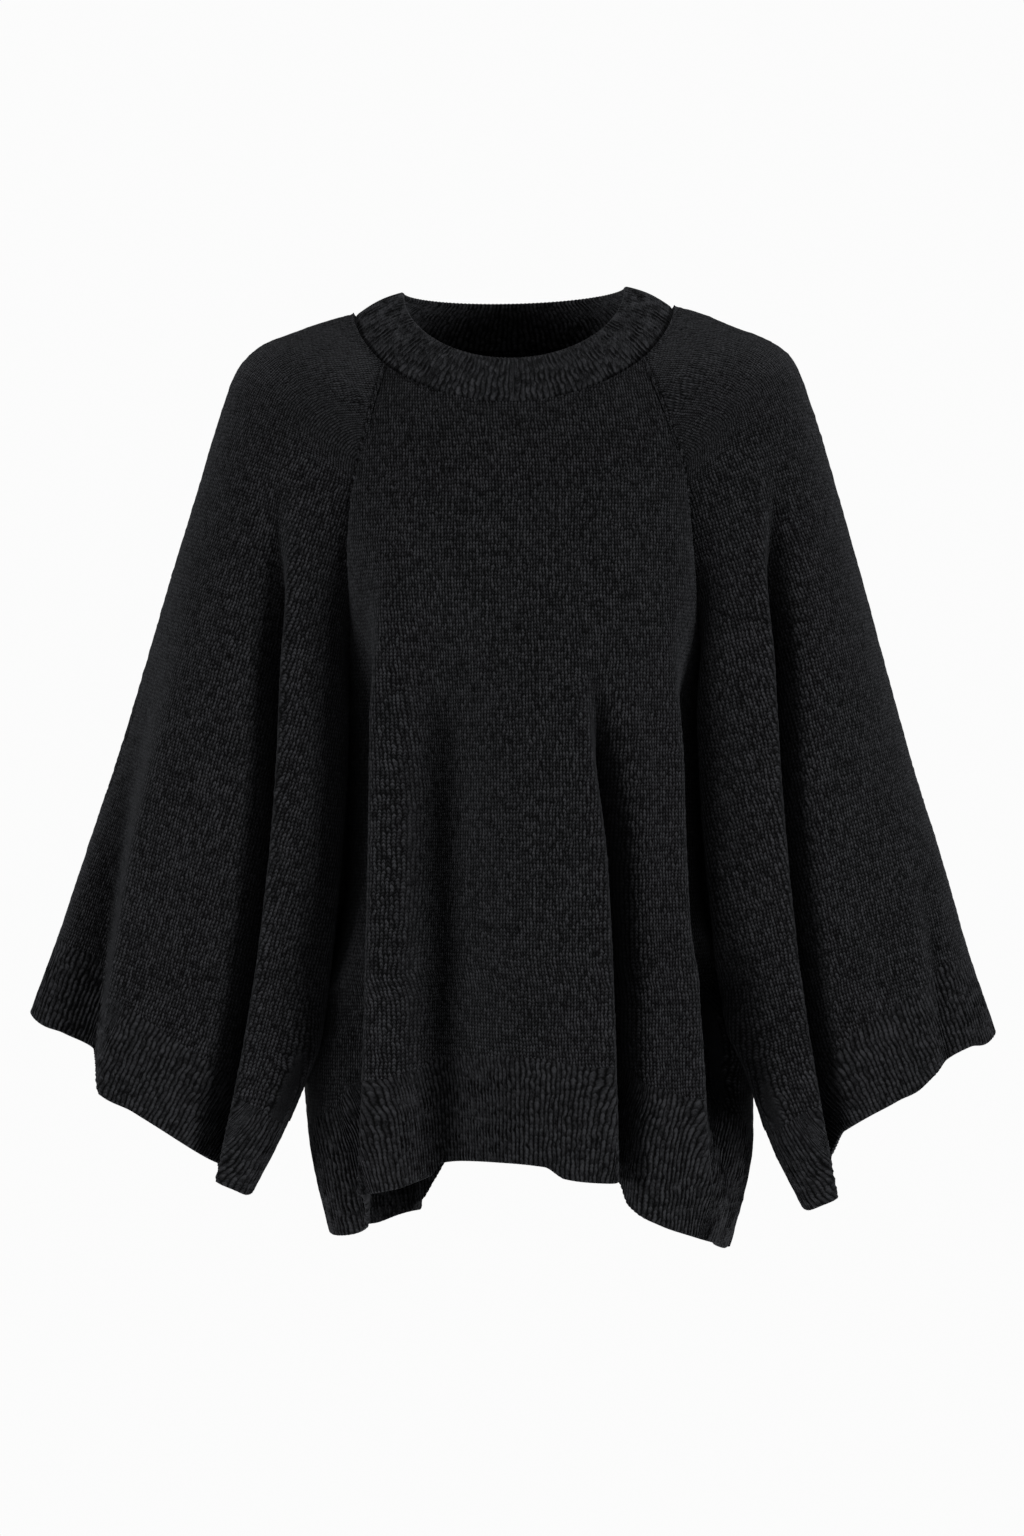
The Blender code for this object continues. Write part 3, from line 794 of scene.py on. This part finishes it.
def band_outward(seam, edge, up):
    """The direction square to the neckband at each column, away from the neck."""
    middle = seam + edge
    tangent = np.roll(middle, -1, axis=0) - np.roll(middle, 1, axis=0)
    tangent /= np.linalg.norm(tangent, axis=-1, keepdims=True)
    out = np.cross(up, tangent)
    away = seam * (1, 1, 0) + (0, 0, BAND_RISE)
    return out * np.sign((out * away).sum(axis=-1, keepdims=True))


def neckband_piece():
    """The neckband: a doubled rib, leaning in from the neckline, with a round folded edge."""
    ribs, place, seam, edge = band_columns()
    wall = np.linalg.norm(edge - seam, axis=-1, keepdims=True)
    up = (edge - seam) / wall
    out = band_outward(seam, edge, up)
    half = BAND_CLOTH / 2
    reach = float(wall.mean())
    ridge = BAND_RIB_DEPTH * ridged(ribs * place)[:, None]

    def middle(share):
        """Between the band's layers, at a share of the way up from the seam."""
        found = seam + up * (wall - half) * share - out * BAND_SINK
        found[:, 2] += BAND_SWELL * math.sin(math.pi * max(share, 0.0))
        return found

    rows, depths = [], []
    for share in BAND_OUTER_SHARES:
        draw = BAND_DRAW * math.exp(-((share * reach / BAND_DRAW_REACH) ** 2))
        strength = min(1.0, BAND_RIB_START + BAND_RIB_GROWTH * share)
        rows.append(middle(share) + out * (half - draw + ridge * strength))
        depths.append(share * reach)
    for bend in BAND_BENDS:
        stand = (half + BAND_EDGE_RIBS * ridge) * math.sin(bend)
        rows.append(middle(1.0) + out * stand + up * half * math.cos(bend))
        depths.append(reach + half * (math.pi / 2 - bend))
    for share in BAND_INNER_SHARES:
        flare = BAND_FLARE if share < 0 else 0.0
        strength = BAND_INNER_RIBS if share > BAND_INNER_FROM else 0.0
        rows.append(middle(share) - out * (half + flare + ridge * strength))
        depths.append((2 - share) * reach)
    height, width = len(rows), len(place)
    j, i = np.meshgrid(np.arange(height), np.arange(width), indexing="ij")
    below, beside = (j + 1) % height, (i + 1) % width
    corners = [j * width + i, j * width + beside, below * width + beside, below * width + i]
    faces = np.stack(corners, axis=-1).reshape(-1, 4)
    points = np.concatenate(rows)
    cloth_map = np.stack(np.meshgrid(place * ribs * STITCH_WIDTH, depths), axis=-1).reshape(-1, 2)
    return cloth_piece("neckband", points, faces, cloth_map, np.zeros(len(points)))


def node(tree, kind, **values):
    """A shader node, with settings by name and inputs by number."""
    made = tree.nodes.new(kind)
    for name, value in values.items():
        if name.startswith("in"):
            socket = made.inputs[int(name[2:])]
            if isinstance(value, bpy.types.NodeSocket):
                tree.links.new(value, socket)
            else:
                socket.default_value = value
        else:
            setattr(made, name, value)
    return made


def math_node(tree, operation, first, second=0.0):
    """The result of a sum on numbers or sockets."""
    return node(tree, "ShaderNodeMath", operation=operation, in0=first, in1=second).outputs[0]


def noise(tree, place, scale, detail, roughness=0.5, dimensions="3D"):
    """Noise from 0 to 1."""
    made = node(tree, "ShaderNodeTexNoise", noise_dimensions=dimensions, in0=place)
    for name, value in (("Scale", scale), ("Detail", detail), ("Roughness", roughness)):
        made.inputs[name].default_value = value
    return made.outputs[0]


def around_zero(tree, value, reach):
    """A value from 0 to 1, shifted to lie evenly round 0 and scaled by reach."""
    return math_node(tree, "MULTIPLY", math_node(tree, "SUBTRACT", value, 0.5), reach)


def plane_place(tree, across, along):
    """A place on a plane, for textures in two dimensions."""
    return node(tree, "ShaderNodeCombineXYZ", in0=across, in1=along).outputs[0]


def wool(name, light, beading):
    """Black felted wool: stitches, strands and fuzz in bump and colour.

    Light scales its colour; where it brightens the yarn, as on the neckband, that is painted light. Beading,
    from 0 to 1, is how far the stitches of a wale stand apart as beads.
    """
    material = bpy.data.materials.new(name)
    material.use_nodes = True
    tree = material.node_tree
    shader = tree.nodes["Principled BSDF"]
    added = partial(math_node, tree, "ADD")
    less = partial(math_node, tree, "SUBTRACT")
    scaled = partial(math_node, tree, "MULTIPLY")

    on_cloth = node(tree, "ShaderNodeUVMap", uv_map="cloth").outputs[0]
    apart = node(tree, "ShaderNodeSeparateXYZ", in0=on_cloth)
    wale = scaled(apart.outputs[0], 1 / (UV_PER_MM * STITCH_WIDTH))
    course = scaled(apart.outputs[1], 1 / (UV_PER_MM * STITCH_HEIGHT))
    waver = noise(tree, plane_place(tree, wale, course), scale=WAVER_SCALE, detail=2.0, dimensions="2D")
    shake = around_zero(tree, waver, WAVER)
    wale = added(wale, shake)
    # Each wale is a column of Vs: the legs of a stitch slope away from the wale's middle.
    place = math_node(tree, "FRACT", wale)
    from_middle = math_node(tree, "ABSOLUTE", less(place, 0.5))
    slope = less(added(course, shake), scaled(from_middle, LEG_SLOPE))
    dash = math_node(tree, "SINE", scaled(slope, 2 * math.pi))
    dash = added(scaled(dash, beading), 1 - beading)
    column = math_node(tree, "SINE", scaled(place, math.pi))
    # Stitches fade into the fuzz where a fold draws them out.
    calm = node(tree, "ShaderNodeAttribute", attribute_name="drawn_out").outputs["Fac"]
    lively = less(1.0, calm)
    stitch = added(scaled(scaled(column, dash), lively), scaled(calm, PLAIN_STITCH))
    # Each stitch has a shade of its own, as in a heathered yarn.
    cell = plane_place(tree, math_node(tree, "FLOOR", wale), math_node(tree, "FLOOR", slope))
    grain = node(tree, "ShaderNodeTexWhiteNoise", noise_dimensions="2D", in0=cell).outputs["Value"]
    bright = added(scaled(around_zero(tree, grain, STITCH_SHADES), lively), STITCH_SHADE)
    # Felting draws neighbouring stitches of a wale into longer strands.
    drawn = plane_place(tree, scaled(wale, STRANDS_ACROSS), scaled(course, STRANDS_ALONG))
    strands = noise(tree, drawn, scale=1.0, detail=2.0, dimensions="2D")
    strand = added(scaled(around_zero(tree, strands, STRAND_SHADES), lively), 1.0)

    where = node(tree, "ShaderNodeTexCoord").outputs["Object"]
    fuzz = noise(tree, where, scale=FUZZ_SCALE, detail=3.0, roughness=FUZZ_ROUGHNESS)
    patches = noise(tree, where, scale=PATCH_SCALE, detail=3.0)
    bump = node(tree, "ShaderNodeBump")
    bump.inputs["Strength"].default_value = 1.0
    bump.inputs["Distance"].default_value = BUMP
    tree.links.new(added(stitch, scaled(fuzz, FUZZ_HEIGHT)), bump.inputs["Height"])
    tree.links.new(bump.outputs[0], shader.inputs["Normal"])
    shade = added(scaled(scaled(stitch, bright), strand), scaled(fuzz, FUZZ_SHADE))
    shade = added(shade, scaled(patches, PATCH_SHADE))
    ramp = node(tree, "ShaderNodeValToRGB", in0=scaled(shade, SHADE_SHARE))
    dark_end, light_end = ramp.color_ramp.elements
    dark_end.position = DARK_END
    dark_end.color = (*DARKEST, 1.0)
    light_end.position = LIGHT_END
    light_end.color = (*(light * part for part in LIGHTEST), 1.0)
    tree.links.new(ramp.outputs[0], shader.inputs["Base Color"])
    tree.links.new(added(scaled(fuzz, ROUGHNESS_OF_FUZZ), ROUGHNESS), shader.inputs["Roughness"])
    shader.inputs["Specular IOR Level"].default_value = SPECULAR
    shader.inputs["Sheen Weight"].default_value = SHEEN
    shader.inputs["Sheen Roughness"].default_value = SHEEN_ROUGHNESS
    shader.inputs["Sheen Tint"].default_value = SHEEN_TINT
    return material


def pale_ground():
    """The matt white of the studio's floor."""
    material = bpy.data.materials.new("pale_ground")
    material.use_nodes = True
    shader = material.node_tree.nodes["Principled BSDF"]
    shader.inputs["Base Color"].default_value = FLOOR_COLOUR
    shader.inputs["Roughness"].default_value = FLOOR_ROUGHNESS
    return material


def dressed(piece, material):
    """The piece, in that material."""
    piece.data.materials.append(material)
    return piece


def clothes():
    """The pieces of the pullover, by the names of the nodes that they replace."""
    knit = wool("felted_knit", light=1.0, beading=0.32)
    rib = wool("felted_rib", light=0.82, beading=0.16)
    # Painted light: the neckband is the same yarn as the rest, drawn brighter to stand in for the light that
    # it catches.
    neck_rib = wool("felted_neck_rib", light=1.25, beading=0.16)
    body_downs = rows_between(TOP_ROW, HEM_START, BODY_STEP, fine_start=True)
    hem_downs = rows_between(HEM_START, BODY_END, RIB_STEP, fine_end=True)
    sleeve_downs = rows_between(TOP_ROW, CUFF_START, SLEEVE_STEP, fine_start=True)
    cuff_downs = rows_between(CUFF_START, SLEEVE_END, RIB_STEP, fine_end=True)
    pieces = {}
    for facing in (-1, 1):
        panel, hem = word(facing) + "_panel", "hem_rib_" + word(facing)
        rows_of = partial(body_rows, facing=facing)
        columns = COLUMNS[word(facing)]
        pieces[panel] = dressed(panel_piece(panel, body_downs, rows_of, columns, facing > 0), knit)
        pieces[hem] = dressed(rib_piece(hem, hem_downs, rows_of, facing > 0), rib)
    for hand, side in (("right", -1), ("left", 1)):
        sleeve, cuff = "sleeve_" + hand, "cuff_" + hand
        rows_of = partial(sleeve_rows, side)
        columns = COLUMNS["sleeve"]
        pieces[sleeve] = dressed(panel_piece(sleeve, sleeve_downs, rows_of, columns, side < 0), knit)
        pieces[cuff] = dressed(rib_piece(cuff, cuff_downs, rows_of, side < 0), rib)
    pieces["neckband"] = dressed(neckband_piece(), neck_rib)
    return pieces


def stage():
    """The pale floor, and a room that shines brighter to the camera than on the cloth."""
    bpy.ops.mesh.primitive_circle_add(
        vertices=FLOOR_SIDES, radius=FLOOR_RADIUS, fill_type="NGON", location=(0, 0, FLOOR_Z)
    )
    floor = bpy.context.object
    floor.name = "floor"
    floor.data.materials.append(pale_ground())
    world = bpy.data.worlds.new("pale_room")
    bpy.context.scene.world = world
    world.use_nodes = True
    tree = world.node_tree
    back = tree.nodes["Background"]
    path = node(tree, "ShaderNodeLightPath")
    strength = node(tree, "ShaderNodeMapRange")
    tree.links.new(path.outputs["Is Camera Ray"], strength.inputs["Value"])
    strength.inputs["To Min"].default_value = ROOM_GLOW
    strength.inputs["To Max"].default_value = BACKDROP_GLOW
    tree.links.new(strength.outputs[0], back.inputs["Strength"])
    back.inputs["Color"].default_value = (1.0, 1.0, 1.0, 1.0)


def lights():
    """The rectangular lights, all turned to the middle of the pullover."""
    for name, place, size, power in LIGHTS:
        data = bpy.data.lights.new(name, "AREA")
        data.shape = "RECTANGLE"
        data.size, data.size_y = size
        data.energy = power
        lamp = bpy.data.objects.new(name, data)
        lamp.location = place
        lamp.rotation_euler = (Vector(LIGHTS_AIM) - Vector(place)).to_track_quat("-Z", "Y").to_euler()
        bpy.context.scene.collection.objects.link(lamp)


def camera():
    """The photo's view: level, in front of the pullover's middle."""
    data = bpy.data.cameras.new("camera")
    data.sensor_fit = "VERTICAL"
    data.sensor_height = SENSOR
    data.lens = SENSOR * CAMERA_DISTANCE / (PHOTO_HEIGHT * MM_PER_PIXEL * MM)
    view = bpy.data.objects.new("camera", data)
    aim = Vector(CAMERA_AIM)
    view.location = aim + Vector((0, -CAMERA_DISTANCE, 0))
    view.rotation_euler = (math.pi / 2, 0, 0)
    bpy.context.scene.collection.objects.link(view)
    bpy.context.scene.camera = view


camera()
stage()
lights()
for name, piece in clothes().items():
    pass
bpy.context.scene.view_settings.view_transform = "Standard"
